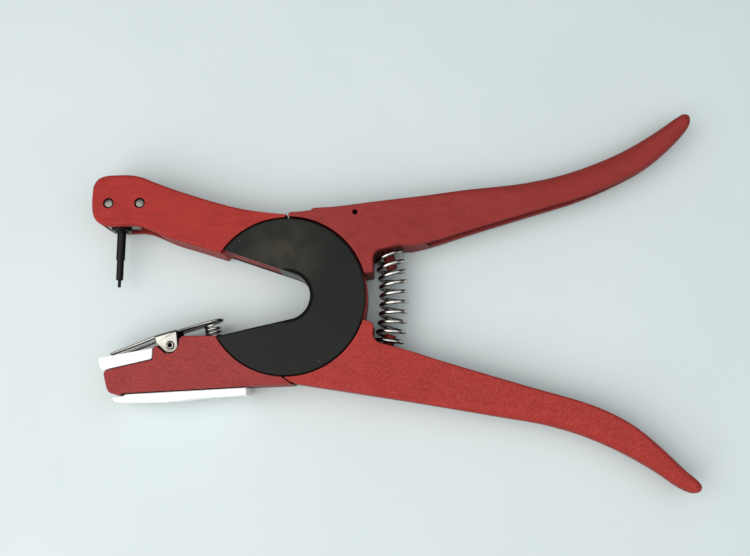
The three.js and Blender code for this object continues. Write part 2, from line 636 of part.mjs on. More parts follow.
// ---------------------------------------------------------------- upper jaw pieces
function pinBlock() {
  const { left, top, wall } = POCKET;
  const right = CROSS_PIN_CENTRES[1][0] - CROSS_PIN_RADIUS - 2 * GAP;
  const body = box([left + GAP, COLLAR.high + GAP, wall + GAP], [right, top - GAP, THICKNESS - wall - GAP]);
  const pinTop = PIN_STEPS.at(-1)[0];
  const pinRadius = PIN_STEPS.at(-1)[1];
  const [end, around] = [pinTop + GAP, pinRadius + GAP];
  const socket = turnedUpright([[0, COLLAR.low], [around, COLLAR.low], [around, end], [0, end]], PIN_X);
  return body
    .subtract(bar(CROSS_PIN_CENTRES[0], CROSS_PIN_RADIUS + GAP, 0, THICKNESS))
    .subtract(socket);
}

function pinCollar() {
  const { low, high, radius, chamfer } = COLLAR;
  const inner = PIN_STEPS.at(-1)[1] + GAP;
  return turnedUpright([
    [inner, low], [radius - chamfer, low], [radius, low + chamfer], [radius, high], [inner, high],
    [inner, low],
  ], PIN_X);
}

// The applicator pin grows thicker in steps from its tip.
function applicatorPin() {
  const [tip, point, middle, top] = PIN_STEPS;
  return turnedUpright([
    [0, tip[0]], [tip[1], tip[0]], [tip[1], point[0]], [point[1], point[0] + PIN_CONES[0]],
    [point[1], middle[0]], [middle[1], middle[0] + PIN_CONES[1]], [top[1], top[0]], [0, top[0]],
  ], PIN_X);
}

function crossPin(centre) {
  return bar(centre, CROSS_PIN_RADIUS, CROSS_PIN_RECESS, THICKNESS - CROSS_PIN_RECESS);
}

// ---------------------------------------------------------------- lower jaw pieces
function jawInsert() {
  const { left, right, bottom, top, halfWidth } = INSERT_SLOT;
  const slot = box([left, bottom, MIDDLE - halfWidth], [right, top, MIDDLE + halfWidth]);
  return slab(JAW_INSERT_OUTLINE, INSERT_MARGIN, THICKNESS - INSERT_MARGIN).subtract(slot);
}

function bottomStrip() {
  return slab(BOTTOM_STRIP_OUTLINE, STRIP_MARGIN, THICKNESS - STRIP_MARGIN);
}

function clipEar(low) {
  const outline = [
    [-54.4, -16.2], [-45.8, -13.7], [-45.4, -14.2],
    ...arc(EAR_RADIUS, 10, -140, CLIP_PIVOT, 8),
    [-53.9, -18.7],
  ];
  return slab(outline, low, low + CLIP_SHEET);
}

// Everything near the clip up to a half-round end at X = `endX`, seen along Y.
function roundEnded(endX, halfWidth) {
  const [left, bottom] = CLIP_NOSE;
  const x = endX - halfWidth;
  return turnedUpright([[0, bottom], [halfWidth, bottom], [halfWidth, 0], [0, 0]], x)
    .add(box([left, bottom, 0], [x, 0, THICKNESS]));
}

// A bent sheet: two ears, a top between them, a fork of two tines in front and a tail behind.
function tagClip() {
  const front = MIDDLE + CLIP_HALF_WIDTH;
  const rear = MIDDLE - CLIP_HALF_WIDTH;
  const strip = (path, low, high) => slab([...path, ...beside(path, -CLIP_SHEET).reverse()], low, high);
  const onTail = (x) => {
    const share = (x - CLIP_BEND[0]) / (CLIP_TAIL_END[0] - CLIP_BEND[0]);
    return [x, CLIP_BEND[1] + share * (CLIP_TAIL_END[1] - CLIP_BEND[1])];
  };
  const tinePath = [CLIP_NOSE, [-64, -19.7], CLIP_BEND, onTail(-52)];
  const tines = [rear + CLIP_SHEET, MIDDLE + FORK_SLOT_HALF_WIDTH]
    .map((low) => strip(tinePath, low, low + CLIP_HALF_WIDTH - CLIP_SHEET - FORK_SLOT_HALF_WIDTH));
  const top = strip([onTail(-54.4), onTail(-45.6)], rear, front);
  const tail = strip([onTail(-46), CLIP_TAIL_END], MIDDLE - TAIL_HALF_WIDTH, MIDDLE + TAIL_HALF_WIDTH)
    .intersect(roundEnded(CLIP_TAIL_END[0], TAIL_HALF_WIDTH));
  let clip = top.add(tail).add(clipEar(rear)).add(clipEar(front - CLIP_SHEET));
  for (const tine of tines) {
    clip = clip.add(tine);
  }
  return clip.subtract(bar(CLIP_PIVOT, CLIP_PIN_RADIUS + GAP, 0, THICKNESS));
}

function clipPivotPin() {
  const low = MIDDLE - CLIP_HALF_WIDTH - CLIP_PIN_PROUD;
  const high = THICKNESS - low;
  return turned([
    [CLIP_PIN_BORE, low], [CLIP_PIN_RADIUS, low], [CLIP_PIN_RADIUS, high], [CLIP_PIN_BORE, high],
    [CLIP_PIN_BORE, low],
  ], CLIP_PIVOT, 20);
}

function clipSpring() {
  const rise = [CLIP_SPRING_TOP[0] - CLIP_SPRING_FOOT[0], CLIP_SPRING_TOP[1] - CLIP_SPRING_FOOT[1]];
  const length = Math.hypot(...rise);
  const across = [rise[1] / length, -rise[0] / length];
  const centreAt = (t) => ({
    centre: [CLIP_SPRING_FOOT[0] + rise[0] * t, CLIP_SPRING_FOOT[1] + rise[1] * t],
    across,
  });
  const coil = new Coil(centreAt, CLIP_SPRING_MEAN_RADIUS, CLIP_SPRING_TURNS, 200);
  return wire(coil, CLIP_SPRING_WIRE_RADIUS, 6, CLIP_SPRING_TURNS * 12);
}

// ---------------------------------------------------------------- the assembly
const finishes = {
  redCoat: { color: 0xa83a34, roughness: 0.5, metalness: 0.1 },
  blackSteel: { color: 0x2b2b29, roughness: 0.45, metalness: 0.4 },
  blackOxide: { color: 0x151515, roughness: 0.4, metalness: 0.6 },
  nickel: { color: 0xd8d6cf, roughness: 0.25, metalness: 1 },
  steel: { color: 0xa5a39c, roughness: 0.4, metalness: 1 },
  whitePlastic: { color: 0xf4f4f2, roughness: 0.5, metalness: 0 },
};

const assembly = new THREE.Group();
const tool = new THREE.Group();
assembly.add(tool);

function addPiece(name, shape, finish) {
  const geometry = shape instanceof THREE.BufferGeometry ? shape : geometryOf(shape);
  const mesh = new THREE.Mesh(geometry, new THREE.MeshStandardMaterial(finishes[finish]));
  mesh.name = name;
  tool.add(mesh);
}

addPiece('upper_jaw_arm', upperJawArm(), 'redCoat');
addPiece('lower_jaw_arm', lowerJawArm(), 'redCoat');
addPiece('front_joint_plate', frontPlate(), 'blackSteel');
addPiece('rear_joint_plate', rearPlate(), 'blackSteel');
addPiece('hub_ring', hubRing(), 'blackSteel');
screwAngles().forEach((angle, i) => addPiece(`joint_screw_${i + 1}`, jointScrew(angle), 'blackOxide'));
SLOT_SCREW_ANGLES.forEach((angle, i) => addPiece(`slot_sleeve_${i + 1}`, slotSleeve(angle), 'steel'));
addPiece('main_spring', mainSpring(), 'nickel');
addPiece('pin_block', pinBlock(), 'steel');
CROSS_PIN_CENTRES.forEach((centre, i) => addPiece(`cross_pin_${i + 1}`, crossPin(centre), 'nickel'));
addPiece('pin_collar', pinCollar(), 'blackOxide');
addPiece('applicator_pin', applicatorPin(), 'blackOxide');
addPiece('jaw_insert', jawInsert(), 'whitePlastic');
addPiece('jaw_bottom_strip', bottomStrip(), 'whitePlastic');
addPiece('tag_clip', tagClip(), 'nickel');
addPiece('clip_pivot_pin', clipPivotPin(), 'nickel');
addPiece('clip_spring', clipSpring(), 'nickel');

// The origin is the middle of the footprint.
const bounds = new THREE.Box3().setFromObject(tool);
const centre = bounds.getCenter(new THREE.Vector3());
tool.position.set(-centre.x, -centre.y, 0);

export default assembly;
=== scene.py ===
"""Looks of the ear-tag applicator pliers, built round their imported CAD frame.

Metres, in the CAD's own frame: the tool lies flat on z = 0, jaws towards -X, handles towards +X.
"""

import json
import math

import bmesh
import bpy
from mathutils import Matrix, Vector
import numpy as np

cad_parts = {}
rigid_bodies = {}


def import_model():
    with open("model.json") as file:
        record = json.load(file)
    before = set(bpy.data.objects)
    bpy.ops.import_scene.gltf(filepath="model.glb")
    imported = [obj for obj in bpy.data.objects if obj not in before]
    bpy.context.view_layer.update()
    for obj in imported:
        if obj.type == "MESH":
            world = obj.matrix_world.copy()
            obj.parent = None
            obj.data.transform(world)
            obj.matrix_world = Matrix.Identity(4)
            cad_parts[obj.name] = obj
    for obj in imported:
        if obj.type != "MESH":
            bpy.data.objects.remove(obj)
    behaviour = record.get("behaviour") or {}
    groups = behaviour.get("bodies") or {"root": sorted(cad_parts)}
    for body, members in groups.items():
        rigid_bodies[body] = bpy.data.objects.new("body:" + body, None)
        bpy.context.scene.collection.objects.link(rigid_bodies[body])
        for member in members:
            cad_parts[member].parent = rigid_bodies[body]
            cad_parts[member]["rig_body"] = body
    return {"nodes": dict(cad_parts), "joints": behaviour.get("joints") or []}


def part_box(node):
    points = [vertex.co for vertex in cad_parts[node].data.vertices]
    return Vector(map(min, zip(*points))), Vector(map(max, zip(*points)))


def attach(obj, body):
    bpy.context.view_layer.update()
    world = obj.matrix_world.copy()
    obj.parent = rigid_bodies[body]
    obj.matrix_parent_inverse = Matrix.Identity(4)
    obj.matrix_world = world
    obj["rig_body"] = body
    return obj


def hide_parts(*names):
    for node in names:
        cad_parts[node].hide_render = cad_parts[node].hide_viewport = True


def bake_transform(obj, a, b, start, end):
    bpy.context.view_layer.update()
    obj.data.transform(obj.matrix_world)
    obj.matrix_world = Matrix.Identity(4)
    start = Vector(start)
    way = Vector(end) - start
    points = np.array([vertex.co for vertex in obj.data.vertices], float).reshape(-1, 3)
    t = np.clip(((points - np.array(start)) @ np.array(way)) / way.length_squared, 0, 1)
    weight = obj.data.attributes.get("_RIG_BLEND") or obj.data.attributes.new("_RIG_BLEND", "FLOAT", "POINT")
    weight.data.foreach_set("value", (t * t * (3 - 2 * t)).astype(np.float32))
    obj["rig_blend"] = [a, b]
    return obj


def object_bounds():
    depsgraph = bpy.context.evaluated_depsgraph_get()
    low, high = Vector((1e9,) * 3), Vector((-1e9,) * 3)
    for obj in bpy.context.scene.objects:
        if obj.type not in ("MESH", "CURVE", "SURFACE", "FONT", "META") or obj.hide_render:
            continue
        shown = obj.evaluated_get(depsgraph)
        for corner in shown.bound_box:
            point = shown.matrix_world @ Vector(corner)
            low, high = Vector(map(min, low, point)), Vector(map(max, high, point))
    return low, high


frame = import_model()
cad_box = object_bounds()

MM = 0.001

# ---------------------------------------------------------------- places, from the frame
PIVOT = Vector(frame["joints"][0]["pos_m"])  # the jaw joint's centre
LOW, HIGH = cad_box
MIDDLE = (LOW.z + HIGH.z) / 2

# ---------------------------------------------------------------- sizes
SAME_POINT = 0.002 * MM  # the frame's points that are closer than this are one point
WELD = 0.01 * MM  # joins what is left of slivers once the flat faces are whole
CAST_WELD = 0.2 * MM
FLAT_ANGLE = math.radians(0.4)  # triangles that meet at less than this are one flat face
SHARP_ANGLE = math.radians(33)  # outside edges that turn more than this are rounded
CREASE_ANGLE = math.radians(38)  # edges that turn more than this are shaded sharp
TURNED_CREASE_ANGLE = math.radians(30)
WIRE_CREASE_ANGLE = math.radians(50)
TURNED_SIDES = 64
WIRE_SIDES = 14
CORNER_STEPS = 4
COIL_STEPS = 40  # in each turn

CAST_ROUND = 0.25 * MM  # edges of the castings that the frame leaves sharp
PLATE_RIM_ROUND = 0.7 * MM
PLATE_HOLE_ROUND = 0.15 * MM
THROAT_RADIUS = 9.8 * MM
THROAT_SHADE = 1.8 * MM  # painted shade: a dark border round the throat's end
THROAT_SHADE_BLUR = 0.6 * MM
SCREW_HEAD_RADIUS = 3.7 * MM
FASTENER_ROUND = 0.12 * MM
BLOCK_ROUND = 0.4 * MM
PLASTIC_ROUND = 0.5 * MM
SHEET_ROUND = 0.42 * MM
BEND_ROUND = 1.0 * MM
CLIP_BEND_Z = 6.5 * MM  # the clip's bends lie farther than this from the middle of the thickness
CLIP_HOLE_REACH = 1.4  # times the rivet's radius
SCREW_HOLE_REACH = 1.3  # times the screw head's radius
FACING = 0.9  # a face looks in a direction when more than this share of its normal goes that way

CROSS_PIN_ROUND = 0.45 * MM
PIN_POINT_RADIUS = 0.7 * MM
PIN_POINT_TOP = 2.9 * MM  # above the tip
PIN_STEM_RADIUS = 1.5 * MM
PIN_STEM_TOP = 11.6 * MM  # above the tip
PIN_POINT_ROUND = 0.35 * MM
PIN_STEM_ROUND = 0.3 * MM
PIN_STEM_CONE = 0.25 * MM
PIN_HEAD_ROUND = 0.25 * MM
PIN_HEAD_CONE = 0.2 * MM
COLLAR_GAP = 0.05 * MM  # between the pin and the collar's bore
COLLAR_FLANGE = 1.5 * MM  # how far the flange stands out past the neck
COLLAR_NECK_TOP = 0.5 * MM  # above the collar's lower end
COLLAR_FLANGE_LOW = 0.8 * MM
COLLAR_NECK_ROUND = 0.25 * MM
COLLAR_FLANGE_ROUND = 0.5 * MM
COLLAR_TOP_ROUND = 0.2 * MM
RIVET_LIP = 0.3 * MM
RIVET_BORE = 0.56  # share of the rivet's radius

SPRING_WIRE_RADIUS = 0.82 * MM
SPRING_RADIUS = 5.5 * MM
SPRING_TURNS = 9.5
SPRING_HALF_HEIGHT = 19 * MM
SPRING_END_X = 41.9 * MM  # from the joint's centre
SPRING_SEAT_SLOPE = math.radians(15)
SPRING_PHASE = math.radians(-80)

CLIP_SPRING_WIRE_RADIUS = 0.52 * MM
CLIP_SPRING_RADIUS = 3 * MM
CLIP_SPRING_TURNS = 3.5
CLIP_SPRING_FOOT = Vector((-31, -16.6, 0)) * MM  # from the joint's centre
CLIP_SPRING_TOP = Vector((-32, -11.35, 0)) * MM
CLIP_SPRING_PHASE = math.radians(200)


# ---------------------------------------------------------------- camera
CAMERA_PLACE = Vector((1.505, -52.266, 374.0)) * MM
CAMERA_TILT = math.radians(9.54)  # from straight down, towards +Y
CAMERA_SIDEWAYS = math.radians(-1.506)
CAMERA_LENS = 42.0  # in mm, as Blender has it
CAMERA_SENSOR = 36


def add_camera():
    data = bpy.data.cameras.new("camera")
    data.sensor_width = CAMERA_SENSOR
    data.lens = CAMERA_LENS
    data.clip_start = 10 * MM
    camera = bpy.data.objects.new("camera", data)
    bpy.context.scene.collection.objects.link(camera)
    back = -Vector((math.tan(CAMERA_SIDEWAYS), math.tan(CAMERA_TILT), -1)).normalized()
    right = Vector((0, 1, 0)).cross(back).normalized()
    up = back.cross(right)
    turn = Matrix((right, up, back)).transposed()
    camera.matrix_world = Matrix.Translation(CAMERA_PLACE) @ turn.to_4x4()
    bpy.context.scene.camera = camera


# ---------------------------------------------------------------- mesh helpers
def new_object(name, mesh):
    piece = bpy.data.objects.new(name, mesh)
    bpy.context.scene.collection.objects.link(piece)
    return piece


def cad_copy(node, weld):
    """A copy of a CAD node's mesh with its triangles joined back into flat faces."""
    work = bmesh.new()
    work.from_mesh(frame["nodes"][node].data)
    bmesh.ops.remove_doubles(work, verts=work.verts, dist=SAME_POINT)
    bmesh.ops.dissolve_limit(work, angle_limit=FLAT_ANGLE, verts=work.verts, edges=work.edges)
    bmesh.ops.remove_doubles(work, verts=work.verts, dist=weld)
    work.edges.index_update()
    return work


def weigh_edges(work, round_of):
    """Stores each sharp outside edge's rounding as a share of the largest one, which it returns."""
    widths = {}
    for edge in work.edges:
        if len(edge.link_faces) != 2 or not edge.is_convex:
            continue
        if edge.calc_face_angle(0) > SHARP_ANGLE:
            middle = (edge.verts[0].co + edge.verts[1].co) / 2
            widths[edge.index] = round_of(middle, [face.normal for face in edge.link_faces])
    widest = max(widths.values())
    layer = work.edges.layers.float.new("bevel_weight_edge")
    work.edges.ensure_lookup_table()
    for index, width in widths.items():
        work.edges[index][layer] = width / widest
    return widest


def finish_shading(piece, crease_angle=CREASE_ANGLE):
    for face in piece.data.polygons:
        face.use_smooth = True
    piece.data.set_sharp_from_angle(angle=crease_angle)


def refine(node, name, round_of, segments=3, weld=WELD):
    """A new piece with the CAD node's shape and softly rounded edges, which stands for that node."""
    work = cad_copy(node, weld)
    widest = weigh_edges(work, round_of)
    mesh = bpy.data.meshes.new(name)
    work.to_mesh(mesh)
    work.free()
    piece = new_object(name, mesh)
    finish_shading(piece)
    bevel = piece.modifiers.new("rounding", "BEVEL")
    bevel.limit_method = "WEIGHT"
    bevel.width = widest
    bevel.segments = segments
    bevel.use_clamp_overlap = False
    normals = piece.modifiers.new("normals", "WEIGHTED_NORMAL")
    normals.keep_sharp = True
    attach(piece, frame["nodes"][node]["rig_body"])
    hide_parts(node)
    return piece


def repaint(node, material):
    """Gives a CAD node that stays as it is a finished material."""
    for place in frame["nodes"][node].material_slots:
        place.material = material


def evenly(width):
    return lambda middle, normals: width


# ---------------------------------------------------------------- castings
# For each arm: the coat's colour at the jaw and at the handle, and the strength of its grain at each.
# The colours are partly painted light: the lower arm's jaw is pinker for a painted sheen, and its handle
# darker for painted shade.
RED_COATS = {
    "upper": ((0.333, 0.0265, 0.0215), (0.37, 0.0355, 0.0295), 0.22, 0.42),
    "lower": ((0.299, 0.0385, 0.0375), (0.248, 0.0285, 0.0255), 0.42, 0.14),
}


def build_arms():
    for which, coat in RED_COATS.items():
        name = f"{which}_jaw_casting"
        arm = refine(f"{which}_jaw_arm", name, evenly(CAST_ROUND), segments=2, weld=CAST_WELD)
        arm.data.materials.append(red_coat(f"{name}_coat", *coat))


# ---------------------------------------------------------------- turned pieces
def turned_mesh(name, profile):
    """A closed turned solid about Z, from (radius, height) points. A bored one's points come back round."""
    work = bmesh.new()
    rings = []
    for radius, height in profile:
        sides = TURNED_SIDES if radius > 0 else 1
        angles = [2 * math.pi * i / sides for i in range(sides)]
        rings.append([work.verts.new((radius * math.cos(a), radius * math.sin(a), height)) for a in angles])
    if profile[0] == profile[-1]:
        for vert in rings[-1]:
            work.verts.remove(vert)
        rings[-1] = rings[0]
    for lower, upper in zip(rings, rings[1:]):
        for i in range(TURNED_SIDES):
            j = (i + 1) % TURNED_SIDES
            around = (lower, i), (lower, j), (upper, j), (upper, i)
            corners = list(dict.fromkeys(ring[k % len(ring)] for ring, k in around))
            if len(corners) > 2:
                work.faces.new(corners)
    bmesh.ops.recalc_face_normals(work, faces=work.faces)
    mesh = bpy.data.meshes.new(name)
    work.to_mesh(mesh)
    work.free()
    return mesh


def turned_piece(name, node, profile, place, material, upright=False):
    """A turned piece that stands for a CAD node, along Z or, where it is upright, along Y."""
    mesh = turned_mesh(name, profile)
    if upright:
        mesh.transform(Matrix.Rotation(-math.pi / 2, 4, "X"))
    mesh.transform(Matrix.Translation(place))
    piece = new_object(name, mesh)
    finish_shading(piece, TURNED_CREASE_ANGLE)
    mesh.materials.append(material)
    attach(piece, frame["nodes"][node]["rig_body"])
    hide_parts(node)


def low_corner(radius, height, size):
    """Profile points of a solid's rounded lower corner, from its underside outwards and up."""
    angles = [math.pi / 2 * i / CORNER_STEPS for i in range(CORNER_STEPS + 1)]
    return [(radius - size + size * math.sin(a), height + size * (1 - math.cos(a))) for a in angles]


def high_corner(radius, height, size):
    """Profile points of a solid's rounded upper corner, from its side up and inwards."""
    return [(across, 2 * height - up) for across, up in reversed(low_corner(radius, height, size))]


def round_box(node):
    """A round node's box: its two corners, its centre and the radius."""
    low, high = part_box(node)
    return low, high, (low + high) / 2, (high.x - low.x) / 2


def build_cross_pins():
    nickel = nickel_plate("pin_nickel", worn=1.0, bright=0.17)
    for i in (1, 2):
        node = f"cross_pin_{i}"
        low, high, centre, radius = round_box(node)
        bottom = low_corner(radius, low.z, CROSS_PIN_ROUND)
        top = high_corner(radius, high.z, CROSS_PIN_ROUND)
        profile = [(0, low.z), *bottom, *top, (0, high.z)]
        turned_piece(f"{node}_turned", node, profile, Vector((centre.x, centre.y, 0)), nickel)


def build_applicator_pin():
    """A point, a stem and a head, each with a rounded lower rim and short cones between them."""
    black = black_oxide("pin_black")
    low, high, centre, radius = round_box("applicator_pin")
    point_top = low.y + PIN_POINT_TOP
    stem_top = low.y + PIN_STEM_TOP
    profile = [
        (0, low.y),
        *low_corner(PIN_POINT_RADIUS, low.y, PIN_POINT_ROUND),
        (PIN_POINT_RADIUS, point_top),
        *low_corner(PIN_STEM_RADIUS, point_top + PIN_STEM_CONE, PIN_STEM_ROUND),
        (PIN_STEM_RADIUS, stem_top),
        *low_corner(radius, stem_top + PIN_HEAD_CONE, PIN_HEAD_ROUND),
        (radius, high.y),
        (0, high.y),
    ]
    place = Vector((centre.x, 0, MIDDLE))
    turned_piece("applicator_pin_turned", "applicator_pin", profile, place, black,
                 upright=True)


def build_collar():
    """A ring round the applicator pin: a short neck below and a rounded flange above it."""
    black = black_oxide("collar_black")
    low, high, centre, radius = round_box("pin_collar")
    pin_radius = round_box("applicator_pin")[-1]
    bore = pin_radius + COLLAR_GAP
    neck = radius - COLLAR_FLANGE
    profile = [
        (bore, low.y),
        *low_corner(neck, low.y, COLLAR_NECK_ROUND),
        (neck, low.y + COLLAR_NECK_TOP),
        *low_corner(radius, low.y + COLLAR_FLANGE_LOW, COLLAR_FLANGE_ROUND),
        *high_corner(radius, high.y, COLLAR_TOP_ROUND),
        (bore, high.y),
        (bore, low.y),
    ]
    place = Vector((centre.x, 0, MIDDLE))
    turned_piece("pin_collar_turned", "pin_collar", profile, place, black, upright=True)


def build_rivet():
    """The hollow pin of the clip, with lips rolled over at both ends."""
    nickel = nickel_plate("rivet_nickel", worn=0.4)
    low, high, centre, radius = round_box("clip_pivot_pin")
    bore = radius * RIVET_BORE
    profile = [
        (bore, low.z + RIVET_LIP),
        *low_corner(radius, low.z, RIVET_LIP),
        *high_corner(radius, high.z, RIVET_LIP),
        (bore, high.z - RIVET_LIP),
        (bore, low.z + RIVET_LIP),
    ]
    place = Vector((centre.x, centre.y, 0))
    turned_piece("clip_pivot_rivet", "clip_pivot_pin", profile, place, nickel)


# ---------------------------------------------------------------- springs
def wire_mesh(name, centre_line, radius):
    """A round wire along a list of points, with flat cut ends."""
    work = bmesh.new()
    rings = []
    side = Vector((0, 0, 1))
    count = len(centre_line)
    for i, point in enumerate(centre_line):
        along = (centre_line[min(i + 1, count - 1)] - centre_line[max(i - 1, 0)]).normalized()
        side = (side - along * side.dot(along)).normalized()
        other = along.cross(side)
        rings.append([
            work.verts.new(point + radius * (math.cos(a) * side + math.sin(a) * other))
            for a in (2 * math.pi * k / WIRE_SIDES for k in range(WIRE_SIDES))
        ])
    for lower, upper in zip(rings, rings[1:]):
        for k in range(WIRE_SIDES):
            j = (k + 1) % WIRE_SIDES
            work.faces.new((lower[k], lower[j], upper[j], upper[k]))
    work.faces.new(rings[0])
    work.faces.new(rings[-1])
    bmesh.ops.recalc_face_normals(work, faces=work.faces)
    mesh = bpy.data.meshes.new(name)
    work.to_mesh(mesh)
    work.free()
    return mesh


def coil_points(centre_at, radius, turns, phase):
    """Points of a coil; centre_at gives its centre and its sideways direction at each share of its length."""
    points = []
    steps = round(turns * COIL_STEPS)
    for i in range(steps + 1):
        share = i / steps
        centre, across = centre_at(share)
        angle = phase + 2 * math.pi * turns * share
        point = centre + across * radius * math.sin(angle)
        points.append(Vector((point.x, point.y, MIDDLE + radius * math.cos(angle))))
    return points


def blended_spring(name, points, wire_radius, material, node, start_body, end_body, start, end):
    """A spring that bends between two bodies, each turn taking an even share of the motion."""
    mesh = wire_mesh(name, points, wire_radius)
    spring = new_object(name, mesh)
    finish_shading(spring, WIRE_CREASE_ANGLE)
    mesh.materials.append(material)
    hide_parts(node)
    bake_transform(spring, start_body, end_body, start=start, end=end)
    along = end - start
    shares = [min(1.0, max(0.0, (v.co - start).dot(along) / along.length_squared)) for v in mesh.vertices]
    mesh.attributes["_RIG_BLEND"].data.foreach_set("value", shares)


def build_main_spring():
    """The spring between the handle roots. Its centre line is an arc square to both seats."""
    arc_radius = SPRING_HALF_HEIGHT / math.sin(SPRING_SEAT_SLOPE)
    centre_x = PIVOT.x + SPRING_END_X - arc_radius * math.cos(SPRING_SEAT_SLOPE)

    def centre_at(share):
        angle = SPRING_SEAT_SLOPE * (2 * share - 1)
        across = Vector((math.cos(angle), math.sin(angle), 0))
        return Vector((centre_x, PIVOT.y, 0)) + across * arc_radius, across

    points = coil_points(centre_at, SPRING_RADIUS, SPRING_TURNS, SPRING_PHASE)
    nickel = nickel_plate("spring_nickel", worn=0.5, bright=0.72)
    top = Vector((PIVOT.x + SPRING_END_X, PIVOT.y + SPRING_HALF_HEIGHT, MIDDLE))
    bottom = Vector((PIVOT.x + SPRING_END_X, PIVOT.y - SPRING_HALF_HEIGHT, MIDDLE))
    blended_spring("return_spring", points, SPRING_WIRE_RADIUS, nickel, "main_spring",
                   "lower_jaw_body", "upper_jaw_body", top, bottom)


def build_clip_spring():
    """The small spring under the clip's tail, straight and a little aslant."""
    foot = CLIP_SPRING_FOOT + Vector((PIVOT.x, PIVOT.y, 0))
    top = CLIP_SPRING_TOP + Vector((PIVOT.x, PIVOT.y, 0))
    rise = top - foot
    across = Vector((rise.y, -rise.x, 0)).normalized()

    def centre_at(share):
        return foot + rise * share, across

    points = coil_points(centre_at, CLIP_SPRING_RADIUS, CLIP_SPRING_TURNS, CLIP_SPRING_PHASE)
    nickel = nickel_plate("clip_spring_nickel", worn=0.7)
    middle = Vector((0, 0, MIDDLE))
    blended_spring("clip_spring_coil", points, CLIP_SPRING_WIRE_RADIUS, nickel, "clip_spring",
                   "lower_jaw_body", "clip_body", foot + middle, top + middle)


# ---------------------------------------------------------------- plates, plastic and sheet pieces
def clip_round(middle, normals):
    """The bends between the ears and the top are rounder than the cut edges. The pin's holes stay sharp."""
    *_, pin, pin_radius = round_box("clip_pivot_pin")
    if math.hypot(middle.x - pin.x, middle.y - pin.y) < CLIP_HOLE_REACH * pin_radius:
        return 0.0
    facing = max(abs(normal.z) for normal in normals)
    upwards = max(normal.y for normal in normals)
    is_bend = facing > FACING and upwards > 0.8 and abs(middle.z - MIDDLE) > CLIP_BEND_Z
    return BEND_ROUND if is_bend else SHEET_ROUND


def plate_round(middle, normals):
    """The plates' rims are rounder than their screw holes."""
    for i in range(1, 5):
        low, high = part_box(f"joint_screw_{i}")
        towards = ((low + high) / 2 - middle) * Vector((1, 1, 0))
        is_inwards = max(normal.dot(towards.normalized()) for normal in normals) > FACING
        if towards.length < SCREW_HOLE_REACH * SCREW_HEAD_RADIUS and is_inwards:
            return PLATE_HOLE_ROUND
    return PLATE_RIM_ROUND


def build_plates():
    black = black_plate("plate_black")
    for side in ("front", "rear"):
        plate = refine(f"{side}_joint_plate", f"{side}_plate_rounded", plate_round, segments=4)
        plate.data.materials.append(black)
    repaint("hub_ring", dark_ring("hub_grey"))


def build_fasteners():
    black = black_oxide("screw_black")
    for i in range(1, 5):
        screw = refine(f"joint_screw_{i}", f"joint_screw_{i}_rounded", evenly(FASTENER_ROUND), segments=2)
        screw.data.materials.append(black)
    steel = machined_steel("sleeve_steel")
    for i in (1, 2):
        sleeve = refine(f"slot_sleeve_{i}", f"slot_sleeve_{i}_rounded", evenly(FASTENER_ROUND), segments=2)
        sleeve.data.materials.append(steel)
    block = refine("pin_block", "pin_block_rounded", evenly(BLOCK_ROUND))
    block.data.materials.append(steel)


def plastic_round(middle, normals):
    """Rims are rounded; the outline's own corners stay."""
    return PLASTIC_ROUND if max(abs(normal.z) for normal in normals) > FACING else 0.0


def build_plastic():
    white = white_plastic("jaw_white")
    for node in ("jaw_insert", "jaw_bottom_strip"):
        piece = refine(node, f"{node}_moulded", plastic_round)
        piece.data.materials.append(white)


def build_clip():
    clip = refine("tag_clip", "tag_clip_pressed", clip_round)
    clip.data.materials.append(nickel_plate("clip_nickel", worn=1.0, bright=0.4))


# ---------------------------------------------------------------- materials
PLATE_BLOOM = Vector((-2, 17, 10)) * MM  # from the joint's centre


